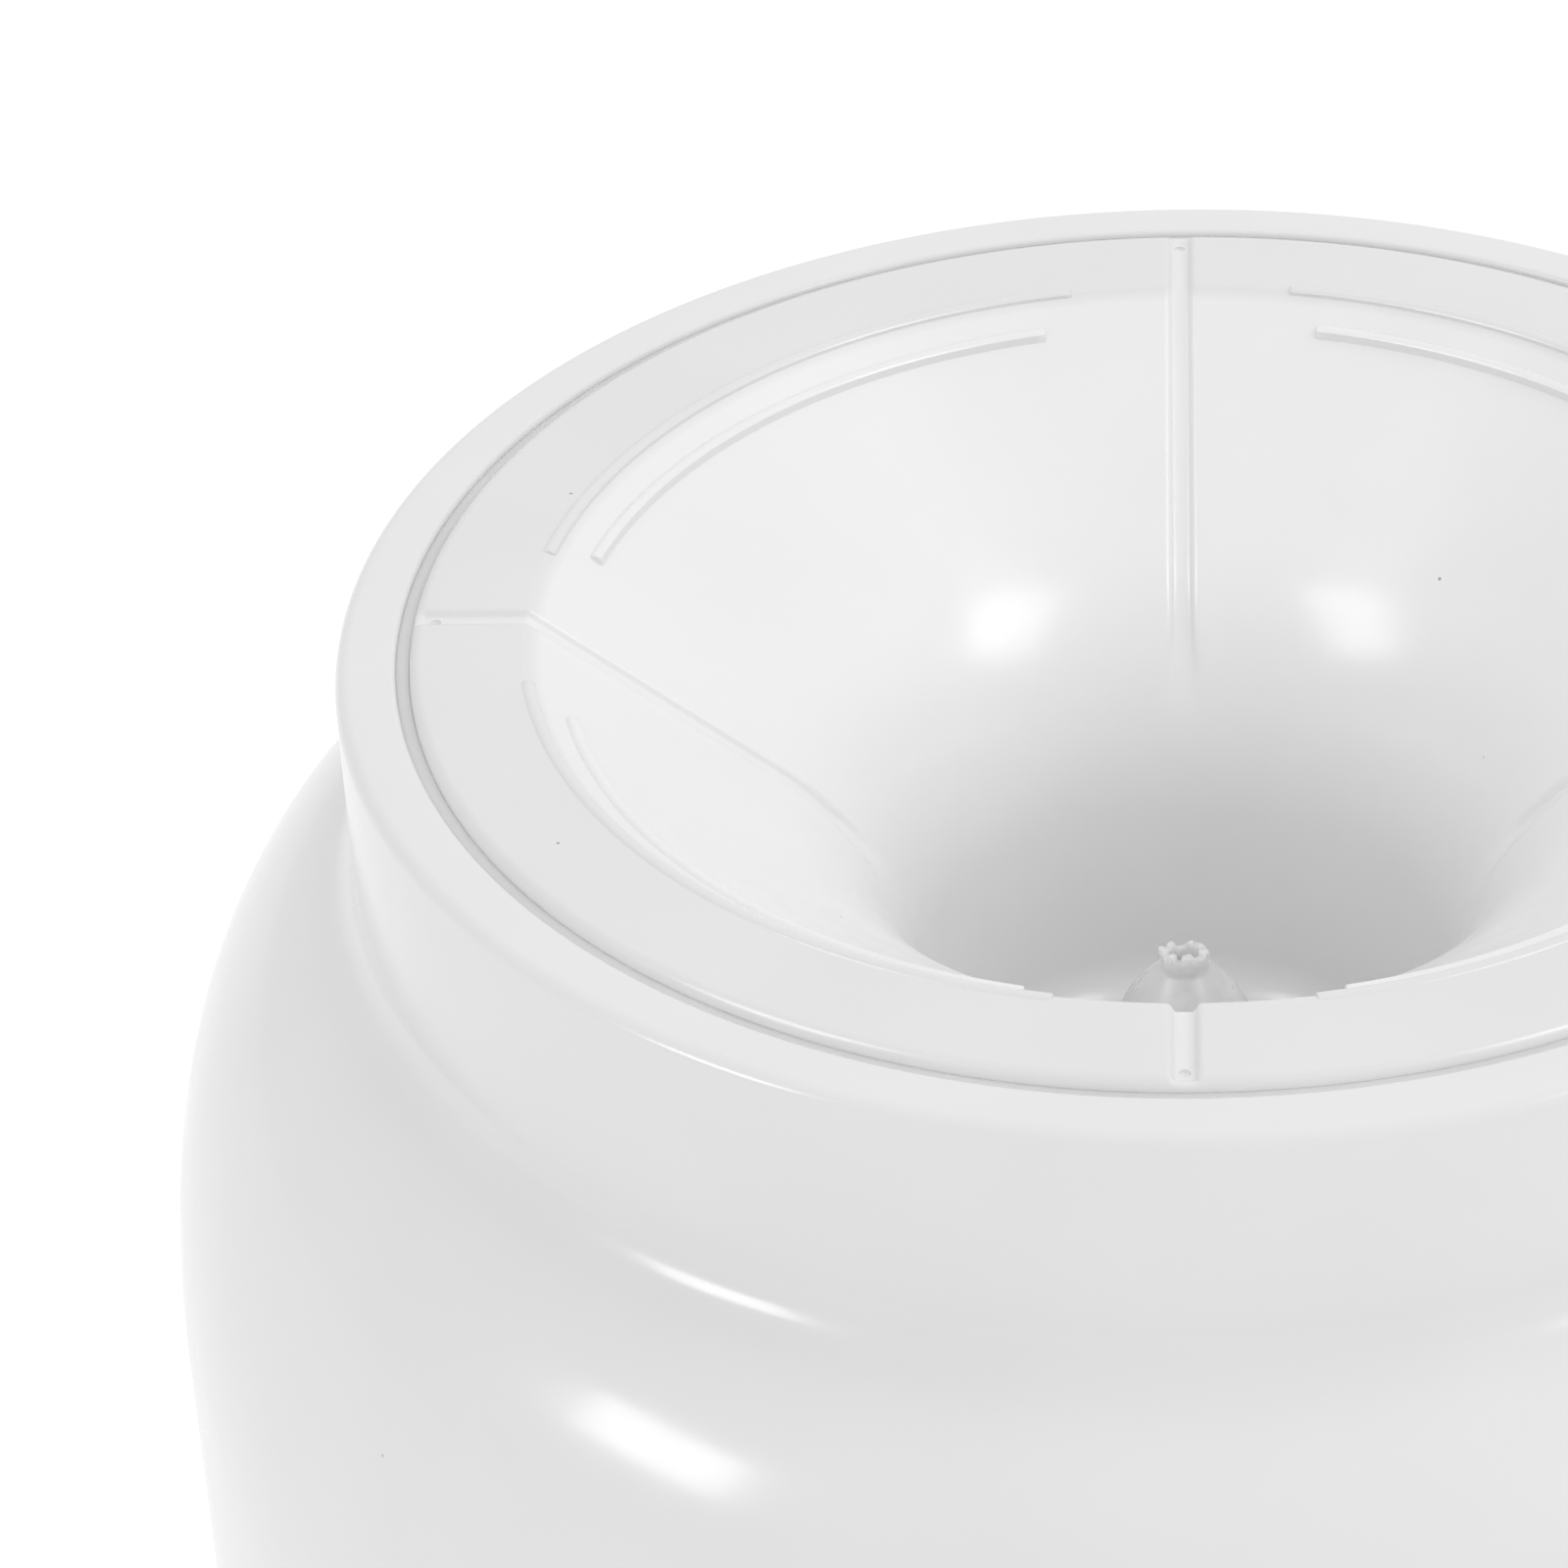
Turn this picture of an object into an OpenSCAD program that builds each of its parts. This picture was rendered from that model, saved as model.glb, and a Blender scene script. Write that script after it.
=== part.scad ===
// White crock with a lift-out bottle bowl and a lever draw-off tap.
// Millimetres. +Z is up, the origin is the centre of the flat base, and the tap faces -Y.

/* [Crock] */
// Height of the crock, from its base to the flat top of its lip
crock_h = 330; // [300:1:380]
// Outside radius of the straight belly
belly_r = 150; // [149:1:152]
// Thickness of the crock's wall
wall = 9; // [8:0.5:10]
// Outside radius of the short neck
neck_r = 118.5; // [118:0.5:119]
// Radius of the rebate that the bowl's flange drops into
rebate_r = 110; // [110:0.5:111]
// Depth of that rebate below the top of the lip
rebate_h = 8; // [8:0.5:9]
// Radius of the open mouth below the rebate
mouth_r = 101.5; // [101.5:0.5:102]
// Radius of the rounded bottom edge
foot_round = 30; // [24:1:32]

/* [Bottle bowl] */
// Outside radius of the bowl's flange
flange_r = 108.1; // [107.5:0.1:108.5]
// Thickness of the flange at its edge
flange_h = 5.2; // [5:0.1:5.6]
// Wall thickness of the moulding
bowl_t = 3; // [2.5:0.25:3.25]
// Slope of the dish below the horizontal, in degrees
dish_slope = 34; // [33:0.5:35]
// Radius where the dish starts to turn down into the neck well
turn_r = 60; // [58:1:62]
// Depth of the well's floor below the flange
well_depth = 92; // [90:1:96]
// Width of the four air channels
channel_w = 3.2; // [2:0.1:4]
// Depth of the air channels
channel_d = 1.1; // [0.8:0.1:1.5]
// Radius of the section of the raised ribs
rib_r = 1.25; // [1:0.05:1.5]

/* [Feed spike] */
// Radius of the open crown at the tip
crown_r = 3.3; // [3:0.1:4]
// Height of the crown above the well's floor
spike_h = 33; // [30:0.5:36]
// Radius of the tail that passes through the floor
tail_r = 12; // [11:0.5:12.5]

/* [Tap] */
// Height of the tap's centre line above the base
tap_z = 62; // [58:1:80]
// Radius of the tap's shank, which passes through the wall
shank_r = 8; // [7.5:0.25:8.25]
// Outside radius of the valve chamber
chamber_r = 13; // [12.5:0.25:13.5]
// Travel of the valve stem
stem_lift = 3.6; // [3:0.1:4]
// Length of the lever from its pin
lever_l = 46; // [38:1:56]

/* [Hidden] */
$fn = 96;

// Lip, neck and shoulder
lip_round = 2.2;
rebate_round = 0.8;
neck_h = 31.3;
fillet_r = 9.5;
shoulder_start = 30;
shoulder_h = 110;
shoulder_reach = 19;
belly_reach = 41;
foot_inset = 4;
mouth_run = 14;
inner_r = belly_r - wall;
floor_t = 12;
floor_round = 24;
ledge_round = 1.5;

// Bowl
edge_round = 3;
lip_blend = 4;
blend_r = 95;
turn_round = 50;
well_slope = 85;
floor_fillet = 8;
well_r = 36.2;
skirt_r = 101;
skirt_t = 2.4;
skirt_h = 16;
tail_hole = tail_r + 0.1;
channel_end = 60;
dimple_r = 1.5;
dimple_depth = 2.6;
dimple_at = 106.4;
clear = 2; // how far a cutter stands past what it cuts
// Each rib: its radius, its depth below the flange, and its end's distance from a channel
RIBS = [[91.9, 0.9, 16.7], [86.7, 4.4, 20.6]];

// Feed spike
spike_wall = 1.1;
crown_h = 2;
bore_taper = 3;
tooth_w = 1.4;
side_hole_r = 2.5;
side_hole_h = 5;
spike_flange_r = 17;
spike_flange_h = 2.5;
spike_washer_h = 1.5;
tail_h = 16;
spike_nut_r = 20;
spike_nut_h = 8;
// Each gap between the crown's teeth: its direction and its depth
TEETH = [[10, 1.2], [70, 0.5], [115, 1.5], [190, 0.8], [235, 1.4], [300, 0.6]];

// Tap
boss_r = 21;
boss_face = belly_r + 1.5;
boss_inner = inner_r - 2.5;
tap_hole_r = shank_r + 0.6;
washer_h = 2;
tap_flange_r = 17;
tap_flange_h = 4;
collar_l = 12;
collar_r = shank_r + 0.5;
valve_y = -(boss_face + washer_h + tap_flange_h + collar_l + chamber_r);
passage_r = 5;
shank_end = -118;
tap_nut_r = 16;
tap_nut_h = 9;
chamber_in = 10;
chamber_low = tap_z - 14;
chamber_top = tap_z + 14;
seat_z = tap_z - 12;
spout_r = 8;
spout_hole = 5.5;
spout_end = tap_z - 34;
bonnet_r = 15.5;
bonnet_low = tap_z + collar_r + 1;
bonnet_top = tap_z + 20;
bonnet_roof = 4;
stem_r = 3;
run_gap = 0.05;
cup_r = 8.5;
cup_h = 8;
pin_z = bonnet_top + 10;
pin_r = 1.5;
pin_l = 15;
cam_gap = 0.25;
cam_r = pin_z - bonnet_top - cam_gap;
cam_offset = stem_lift / 0.6;
eye_r = 4;
flat_l = cam_r + stem_lift + cam_gap;
lever_back = 14;
lever_h = 6.7;
paddle_r = 8;
paddle_h = 4;
paddle_rise = 12;
bridge_l = 6;
bridge_h = 10;
head_w = 5;
cheek_gap = 0.3;
cheek_t = 3.6;
lever_w = head_w + 2 * (cheek_gap + cheek_t);
spring_r = 5.6;
wire_r = 0.6;
spring_turns = 6;
spring_low = seat_z + cup_h + wire_r + 0.1;
spring_top = bonnet_top - bonnet_roof - wire_r - 0.1;

// Points on an arc about (cx, cy), and on a cubic curve
function arc(cx, cy, r, a0, a1, n = 10) =
    [for (i = [0:n]) let (a = a0 + (a1 - a0) * i / n) [cx + r * cos(a), cy + r * sin(a)]];
function curve(p0, p1, p2, p3, n = 18) =
    [for (i = [0:n]) let (t = i / n, s = 1 - t)
        s * s * s * p0 + 3 * s * s * t * p1 + 3 * s * t * t * p2 + t * t * t * p3];

// The shoulder, from the neck's fillet out to the belly, moved in by d along the way
function shoulder(d) =
    let (r0 = neck_r + fillet_r * (1 - sin(shoulder_start)) + d * 0.1,
         z0 = crock_h - neck_h - fillet_r * cos(shoulder_start) - d,
         z1 = crock_h - shoulder_h - d * 0.6)
    curve([r0, z0],
          [r0 + shoulder_reach * cos(shoulder_start), z0 - shoulder_reach * sin(shoulder_start)],
          [belly_r - d, z1 + belly_reach],
          [belly_r - d, z1]);

// The dish and well surface of the bowl, moved down into the wall by d
function dish_line(d) =
    let (blend_end = 90 + dish_slope,
         run_out = blend_r - lip_blend * sin(dish_slope),
         run_z = -lip_blend * (1 - cos(dish_slope)),
         turn_z = run_z - (run_out - turn_r) * tan(dish_slope),
         turn_cx = turn_r + turn_round * sin(dish_slope),
         turn_cz = turn_z - turn_round * cos(dish_slope))
    concat(
        arc(blend_r, -lip_blend, lip_blend - d, 90, blend_end, 8),
        arc(turn_cx, turn_cz, turn_round - d, blend_end, 90 + well_slope, 16),
        arc(well_r - floor_fillet, floor_fillet - well_depth, floor_fillet + d, 0, -90, 8)
    );

// A ring with square edges
module ring(r_out, r_in, h) {
    difference() {
        cylinder(r = r_out, h = h);
        translate([0, 0, -1]) cylinder(r = r_in, h = h + 2);
    }
}

// Turns a shape drawn along +Z so that it points to the front, and lifts it to the tap's height
module along_tap(y) {
    translate([0, y, tap_z]) rotate([90, 0, 0]) children();
}

// Glazed vessel: lip with its rebate, neck, shoulder, belly, base, and a pad for the tap
module crock_body() {
    outside = concat(
        arc(rebate_r + rebate_round, crock_h - rebate_round, rebate_round, 180, 90, 4),
        arc(neck_r - lip_round, crock_h - lip_round, lip_round, 90, 0, 8),
        arc(neck_r + fillet_r, crock_h - neck_h, fillet_r, 180, 270 - shoulder_start, 10),
        shoulder(0),
        arc(belly_r - foot_round, foot_round, foot_round, 0, -75, 12),
        [[belly_r - foot_round + foot_inset, 0], [0, 0]]
    );
    inside = concat(
        [[0, floor_t]],
        arc(inner_r - floor_round, floor_t + floor_round, floor_round, -90, 0, 10),
        [for (i = [18:-1:3]) shoulder(wall)[i]],
        [[mouth_r, crock_h - neck_h - mouth_run]],
        arc(mouth_r + ledge_round, crock_h - rebate_h - ledge_round, ledge_round, 180, 90, 4),
        [[rebate_r, crock_h - rebate_h]]
    );
    color("white") difference() {
        union() {
            rotate_extrude($fn = 180) polygon(concat(outside, inside));
            along_tap(-boss_inner) cylinder(r = boss_r, h = boss_face - boss_inner);
        }
        along_tap(-boss_inner + clear)
            cylinder(r = tap_hole_r, h = boss_face - boss_inner + 2 * clear);
    }
}

// Moulded bowl that the bottle sits in: flange, dish, ribs, air channels and neck well
module insert_bowl() {
    under = dish_line(bowl_t);
    slope_out = under[9];
    section = concat(
        [[flange_r, -flange_h]],
        arc(flange_r - edge_round, -edge_round, edge_round, 0, 90, 8),
        dish_line(0),
        [[tail_hole, -well_depth], [tail_hole, -well_depth - bowl_t]],
        [for (i = [len(under) - 1:-1:9]) under[i]],
        [[slope_out[0] + (-flange_h - slope_out[1]) / tan(dish_slope), -flange_h]]
    );
    color("whitesmoke") translate([0, 0, crock_h]) difference() {
        union() {
            rotate_extrude($fn = 180) polygon(section);
            translate([0, 0, -skirt_h]) ring(skirt_r, skirt_r - skirt_t, skirt_h - flange_h + 0.5);
            for (rib = RIBS, quarter = [0:90:270])
                let (skip = asin(rib[2] / rib[0]))
                rotate([0, 0, quarter + skip]) rotate_extrude(angle = 90 - 2 * skip, $fn = 180)
                    translate([rib[0], -rib[1]]) circle(r = rib_r, $fn = 32);
        }
        air_channels();
    }
}

// Four radial grooves that let air past the bottle, each with a dimple at its outer end
module air_channels() {
    above = concat(
        [[rebate_r, -channel_d]],
        dish_line(channel_d),
        [[0, -well_depth - channel_d], [0, clear], [rebate_r, clear]]
    );
    reach = rebate_r + clear;
    intersection() {
        rotate_extrude($fn = 180) polygon(above);
        for (quarter = [0, 90])
            rotate([0, 0, quarter]) translate([-reach, -channel_w / 2, -channel_end])
                cube([2 * reach, channel_w, channel_end + 2 * clear]);
    }
    for (quarter = [0:90:270])
        rotate([0, 0, quarter]) translate([dimple_at, 0, -dimple_depth])
            cylinder(r = dimple_r, h = dimple_depth + clear, $fn = 32);
}

// Soft ring between the flange and the crock's rebate
module insert_gasket() {
    color("gainsboro") translate([0, 0, crock_h - rebate_h])
        ring(rebate_r - 2.2, mouth_r + 1.5, rebate_h - flange_h);
}

// Hollow spike that opens the bottle's cap and feeds the crock, with a broken-off crown
module feed_spike() {
    base = -well_depth + spike_washer_h;
    shelf = base + spike_flange_h;
    tip = -well_depth + spike_h;
    side = curve(
        [tail_r + 1, shelf], [tail_r + 0.6, shelf + 15],
        [crown_r + 4.4, tip - 6.5], [crown_r, tip - crown_h], 12
    );
    bore = crown_r - spike_wall;
    tail_bore = tail_r - 2.5;
    section = concat(
        [[tail_r, -well_depth - tail_h], [tail_r, base], [spike_flange_r, base], [spike_flange_r, shelf]],
        side,
        [[crown_r, tip], [bore, tip], [bore, tip - crown_h - bore_taper]],
        [[tail_bore, shelf], [tail_bore, -well_depth - tail_h]]
    );
    color("gainsboro") translate([0, 0, crock_h]) difference() {
        rotate_extrude($fn = 96) polygon(section);
        for (tooth = TEETH)
            rotate([0, 0, tooth[0]]) translate([0, -tooth_w / 2, tip - tooth[1]])
                cube([crown_r + clear, tooth_w, tooth[1] + clear]);
        for (side_hole = [30:120:270])
            rotate([0, 0, side_hole]) translate([crown_r, 0, shelf + side_hole_h]) rotate([0, 90, 0])
                cylinder(r = side_hole_r, h = tail_r, $fn = 32);
    }
}

// Seal under the spike's flange
module spike_washer() {
    color("silver") translate([0, 0, crock_h - well_depth]) ring(spike_flange_r, tail_r, spike_washer_h);
}

// Hexagonal nut that draws the spike down from below the bowl
module spike_nut() {
    color("whitesmoke") translate([0, 0, crock_h - well_depth - bowl_t - spike_nut_h]) difference() {
        cylinder(r = spike_nut_r, h = spike_nut_h, $fn = 6);
        translate([0, 0, -1]) cylinder(r = tail_r, h = spike_nut_h + 2);
    }
}

// Tap body: shank through the wall, flange, valve chamber and spout
module tap_body() {
    flange_back = boss_face + washer_h;
    color("white") difference() {
        union() {
            along_tap(shank_end) cylinder(r = shank_r, h = -valve_y + shank_end);
            along_tap(-flange_back) cylinder(r = tap_flange_r, h = tap_flange_h);
            along_tap(-flange_back) cylinder(r = collar_r, h = -valve_y - flange_back);
            translate([0, valve_y, chamber_low]) cylinder(r = chamber_r, h = chamber_top - chamber_low);
            translate([0, valve_y, spout_end]) cylinder(r = spout_r, h = chamber_low - spout_end + 1);
        }
        translate([0, valve_y, seat_z]) cylinder(r = chamber_in, h = chamber_top - seat_z + 1);
        translate([0, valve_y, spout_end - 1]) cylinder(r = spout_hole, h = seat_z - spout_end + 2);
        along_tap(shank_end + 1) cylinder(r = passage_r, h = -valve_y + shank_end + 1);
    }
}

// Soft washer between the tap's flange and the crock
module tap_front_washer() {
    color("gainsboro") along_tap(-boss_face) ring(tap_flange_r - 1, shank_r, washer_h);
}

// Soft washer between the nut and the inside of the crock
module tap_inner_washer() {
    color("gainsboro") along_tap(-boss_inner + washer_h) ring(tap_nut_r - 2, shank_r, washer_h);
}

// Nut that clamps the tap from inside the crock
module tap_nut() {
    color("white") along_tap(-boss_inner + washer_h + tap_nut_h) difference() {
        cylinder(r = tap_nut_r, h = tap_nut_h, $fn = 6);
        translate([0, 0, -1]) cylinder(r = shank_r, h = tap_nut_h + 2);
    }
}

// Screw cap of the valve chamber, which guides the stem
module tap_bonnet() {
    color("white") translate([0, valve_y, 0]) difference() {
        translate([0, 0, bonnet_low]) cylinder(r = bonnet_r, h = bonnet_top - bonnet_low);
        translate([0, 0, bonnet_low - 1])
            cylinder(r = chamber_r, h = bonnet_top - bonnet_roof - bonnet_low + 1);
        translate([0, 0, bonnet_low]) cylinder(r = stem_r + run_gap, h = bonnet_top);
    }
}

// Soft ring between the chamber's rim and the bonnet's roof
module tap_bonnet_ring() {
    color("silver") translate([0, valve_y, chamber_top])
        ring(chamber_r - 0.3, chamber_in + 0.3, bonnet_top - bonnet_roof - chamber_top);
}

// Lift rod of the valve, with a flat eye for the lever's pin
module tap_stem() {
    color("whitesmoke") translate([0, valve_y, 0]) difference() {
        union() {
            translate([0, 0, seat_z + 3]) cylinder(r = stem_r, h = pin_z - seat_z - 3);
            translate([-head_w / 2, 0, pin_z]) rotate([0, 90, 0]) cylinder(r = eye_r, h = head_w);
        }
        translate([-head_w, 0, pin_z]) rotate([0, 90, 0]) cylinder(r = pin_r + run_gap, h = 2 * head_w);
        for (side = [-1, 1])
            translate([side * (head_w + stem_r) / 2 - stem_r / 2, -eye_r - clear, pin_z - flat_l])
                cube([stem_r, 2 * (eye_r + clear), flat_l + eye_r + clear]);
    }
}

// Soft cup that closes the spout
module tap_seat_cup() {
    color("gainsboro") translate([0, valve_y, seat_z]) difference() {
        union() {
            cylinder(r = cup_r, h = 3);
            translate([0, 0, 3]) cylinder(r1 = cup_r, r2 = cup_r - 2, h = cup_h - 3);
        }
        translate([0, 0, 3]) cylinder(r = stem_r, h = cup_h);
    }
}

// Points of the spring's wire: rings of points along a helix
function wire_point(turn, around) =
    let (a = 360 * turn,
         r = spring_r + wire_r * cos(around),
         rise = (spring_top - spring_low) * turn / spring_turns)
    [r * cos(a), r * sin(a), spring_low + rise + wire_r * sin(around)];

// Spring that pushes the cup onto its seat
module tap_spring() {
    sides = 8;
    steps = 24 * spring_turns;
    points = [for (i = [0:steps], k = [0:sides - 1])
        wire_point(i * spring_turns / steps, -360 * k / sides)];
    skin = [for (i = [0:steps - 1], k = [0:sides - 1])
        let (a = i * sides, b = a + sides, next = (k + 1) % sides)
        [a + k, a + next, b + next, b + k]];
    first = [[for (k = [sides - 1:-1:0]) k]];
    last = [[for (k = [0:sides - 1]) steps * sides + k]];
    color("silver") translate([0, valve_y, 0]) polyhedron(points, concat(skin, first, last));
}

// Lever: two cam cheeks beside the stem's eye and a finger paddle to the front
module tap_lever() {
    blade_z = pin_z + 3;
    color("white") difference() {
        union() {
            for (side = [-1, 1])
                translate([side * (lever_w - cheek_t) / 2 - cheek_t / 2, valve_y - cam_offset, pin_z])
                    rotate([0, 90, 0]) cylinder(r = cam_r, h = cheek_t);
            translate([0, valve_y, 0]) hull() {
                translate([-lever_w / 2, -lever_back, blade_z]) cube([lever_w, paddle_h, lever_h]);
                translate([0, paddle_r - lever_l, blade_z + paddle_rise])
                    cylinder(r = paddle_r, h = paddle_h, $fn = 32);
            }
            translate([-lever_w / 2, valve_y - lever_back, pin_z - clear])
                cube([lever_w, bridge_l, bridge_h]);
        }
        translate([-lever_w, valve_y, pin_z]) rotate([0, 90, 0]) cylinder(r = pin_r, h = 2 * lever_w);
    }
}

// Pin that the lever turns on
module tap_lever_pin() {
    color("silver") translate([-pin_l / 2, valve_y, pin_z]) rotate([0, 90, 0])
        cylinder(r = pin_r, h = pin_l);
}

crock_body();
insert_bowl();
insert_gasket();
feed_spike();
spike_washer();
spike_nut();
tap_body();
tap_front_washer();
tap_inner_washer();
tap_nut();
tap_bonnet();
tap_bonnet_ring();
tap_stem();
tap_seat_cup();
tap_spring();
tap_lever();
tap_lever_pin();
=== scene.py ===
# %% [markdown]
# # A white crock with a bottle bowl, looked at from above
#
# The crock is a glazed pot with a short neck. A moulded bowl hangs in its mouth, and an upturned
# bottle sits in that bowl with its cap pushed onto a hollow spike. A small press-lever tap draws
# the liquid off near the base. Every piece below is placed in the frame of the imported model, so
# the first cell loads that frame and keeps its box.

# %% Load the frame
import math

import bmesh
import bpy
from mathutils import Matrix, Vector


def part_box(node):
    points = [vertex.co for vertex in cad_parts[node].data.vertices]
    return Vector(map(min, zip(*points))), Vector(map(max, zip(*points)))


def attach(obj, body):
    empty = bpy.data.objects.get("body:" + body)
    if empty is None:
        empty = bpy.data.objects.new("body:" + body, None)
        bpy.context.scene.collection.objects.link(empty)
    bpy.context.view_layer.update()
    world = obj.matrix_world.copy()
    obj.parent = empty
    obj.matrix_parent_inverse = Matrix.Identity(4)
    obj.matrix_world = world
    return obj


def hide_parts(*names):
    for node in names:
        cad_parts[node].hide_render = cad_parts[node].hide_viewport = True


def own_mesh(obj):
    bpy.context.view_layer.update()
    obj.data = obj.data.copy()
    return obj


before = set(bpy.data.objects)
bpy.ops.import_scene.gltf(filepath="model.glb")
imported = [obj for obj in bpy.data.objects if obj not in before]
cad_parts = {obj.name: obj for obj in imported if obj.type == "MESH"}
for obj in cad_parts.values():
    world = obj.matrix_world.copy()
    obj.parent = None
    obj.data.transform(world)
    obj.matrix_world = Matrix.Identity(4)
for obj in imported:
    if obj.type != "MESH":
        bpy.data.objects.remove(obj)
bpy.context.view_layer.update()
MM = 0.001

# %% [markdown]
# ## The driving sizes
#
# What the frame can tell is read from the boxes of its nodes. The rest of the sizes, such as
# radii of roundings, are named here once, in metres, and used by the cells that shape the pieces.

# %% Sizes from the frame
crock_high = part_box("crock_body")[1]
bowl_low, bowl_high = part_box("insert_bowl")
spike_low, spike_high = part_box("feed_spike")
RIM = crock_high.z
BELLY = round(crock_high.x, 3)
FLANGE = bowl_high.x
BOWL_WALL = 3 * MM
WELL_DEEP = RIM - bowl_low.z - BOWL_WALL
WALL = 9 * MM
NECK = 118.5 * MM
REBATE = 110 * MM
REBATE_DEEP = 8 * MM
MOUTH = 101.5 * MM
print("rim", RIM, "belly", BELLY, "flange", round(FLANGE, 4), "well", round(WELL_DEEP, 4))

# %% [markdown]
# ## Camera
#
# A long lens looks down on the rim from the front. It is aimed a little to the left of the mouth
# and close enough that the rim runs out of the frame on the right, and it is rolled by a few
# degrees, because an off-centre aim turns the object's upright axis in the frame.

# %% The camera
CAMERA_DISTANCE = 0.8067
CAMERA_ELEVATION = math.radians(32.75)
AIM = Vector((-0.0557, -0.0148, 0.3112))
ROLL = math.radians(3.06)
FOCAL_LENGTH = 132.4

camera_data = bpy.data.cameras.new("camera")
camera = bpy.data.objects.new("camera", camera_data)
bpy.context.scene.collection.objects.link(camera)
bpy.context.scene.camera = camera
camera.location = (
    0,
    -CAMERA_DISTANCE * math.cos(CAMERA_ELEVATION),
    RIM + CAMERA_DISTANCE * math.sin(CAMERA_ELEVATION),
)
look = AIM - camera.location
camera.rotation_mode = "QUATERNION"
roll = Matrix.Rotation(-ROLL, 3, "Z").to_quaternion()
camera.rotation_quaternion = look.to_track_quat("-Z", "Y") @ roll
camera_data.lens = FOCAL_LENGTH
camera_data.sensor_width = 36
camera_data.clip_start = 0.01
camera_data.clip_end = 50
print("camera at", tuple(round(v, 3) for v in camera.location))

# %% [markdown]
# ## Drawing and turning
#
# Most pieces here were thrown, moulded or turned round an axis. By hand one draws half of the
# section as a chain of points and spins it. `draw` does that with one vertex that is extruded
# from point to point, and `turn` spins the chain and welds the seam. A chain that starts and
# ends on the axis closes itself, and a ring's section is closed before it is spun.

# %% Helpers that select, draw and turn
def leave_edit_mode():
    """Goes back to object mode with nothing selected."""
    if bpy.context.object and bpy.context.object.mode != "OBJECT":
        bpy.ops.object.mode_set(mode="OBJECT")
    bpy.ops.object.select_all(action="DESELECT")


def choose(piece):
    """Makes one piece the only selected one and the active one."""
    leave_edit_mode()
    piece.select_set(True)
    bpy.context.view_layer.objects.active = piece


def edit(piece):
    """Opens a piece in edit mode with nothing selected, and gives its mesh."""
    choose(piece)
    bpy.ops.object.mode_set(mode="EDIT")
    bpy.ops.mesh.select_mode(type="VERT")
    bpy.ops.mesh.select_all(action="DESELECT")
    return bmesh.from_edit_mesh(piece.data)


def mark(piece, mesh, wanted, part="verts"):
    """Selects only the vertices, edges or faces for which wanted says yes."""
    bpy.ops.mesh.select_mode(type=part[:-1].upper())
    bpy.ops.mesh.select_all(action="DESELECT")
    for item in getattr(mesh, part):
        if wanted(item):
            item.select = True
    bmesh.update_edit_mesh(piece.data)


def draw(name, points):
    """A chain of edges through the points, in a new piece whose object stays at the origin."""
    leave_edit_mode()
    bpy.ops.mesh.primitive_plane_add(size=0.01, location=(0, 0, 0))
    piece = bpy.context.object
    piece.name = piece.data.name = name
    bpy.ops.object.mode_set(mode="EDIT")
    bpy.ops.mesh.select_mode(type="VERT")
    bpy.ops.mesh.select_all(action="SELECT")
    bpy.ops.mesh.merge(type="CENTER")
    bpy.ops.transform.translate(value=points[0])
    for before, after in zip(points, points[1:]):
        step = Vector(after) - Vector(before)
        bpy.ops.mesh.extrude_vertices_move(TRANSFORM_OT_translate={"value": step})
    return piece


def close_chain(piece):
    """Joins the two ends of a drawn chain."""
    mesh = bmesh.from_edit_mesh(piece.data)
    mesh.verts.ensure_lookup_table()
    bpy.ops.mesh.select_all(action="DESELECT")
    mesh.verts[0].select = mesh.verts[-1].select = True
    bpy.ops.mesh.edge_face_add()


def tidy_mesh(weld=1e-6):
    """Welds doubles and turns all normals outward, in edit mode."""
    bpy.ops.mesh.select_all(action="SELECT")
    bpy.ops.mesh.remove_doubles(threshold=weld)
    bpy.ops.mesh.normals_make_consistent(inside=False)


def turn(name, section, steps=96, closed=False, foot=(0, 0, 0), axis=(0, 0, 1), across=(1, 0, 0)):
    """Spins a section of (radius, height) points round an axis through foot."""
    foot, axis, across = Vector(foot), Vector(axis), Vector(across)
    piece = draw(name, [foot + across * r + axis * h for r, h in section])
    if closed:
        close_chain(piece)
    bpy.ops.mesh.select_all(action="SELECT")
    bpy.ops.mesh.spin(steps=steps, angle=2 * math.pi, center=foot, axis=axis)
    tidy_mesh()
    bpy.ops.object.mode_set(mode="OBJECT")
    return piece


# %% Helpers that give points on bars, arcs and curves
def bar(radius, low, high):
    """Half of the section of a plain round bar, such as a drill or a rod."""
    return [(0, low), (radius, low), (radius, high), (0, high)]


def arc(cx, cz, r, start, end, steps=10):
    """Points on an arc; angles in degrees."""
    angles = [math.radians(start + (end - start) * i / steps) for i in range(steps + 1)]
    return [(cx + r * math.cos(a), cz + r * math.sin(a)) for a in angles]


def curve(p0, p1, p2, p3, steps=24):
    """Points on a cubic curve between p0 and p3."""
    def at(t):
        s = 1 - t
        weights = (s * s * s, 3 * s * s * t, 3 * s * t * t, t * t * t)
        return tuple(sum(w * p[k] for w, p in zip(weights, (p0, p1, p2, p3))) for k in (0, 1))
    return [at(i / steps) for i in range(steps + 1)]


def ease(value, low, high):
    """0 below low, 1 above high, and a smooth step between."""
    t = min(1, max(0, (value - low) / (high - low)))
    return t * t * (3 - 2 * t)


# %% [markdown]
# ## Joining, cutting and finishing
#
# A pad is added to a wall, or a hole is drilled through it, with the Boolean modifier, which is
# applied at once. Small pieces have their sharp edges broken with a bevel, because no moulded or
# turned edge is razor sharp, and a broken edge is what catches the light.

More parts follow.
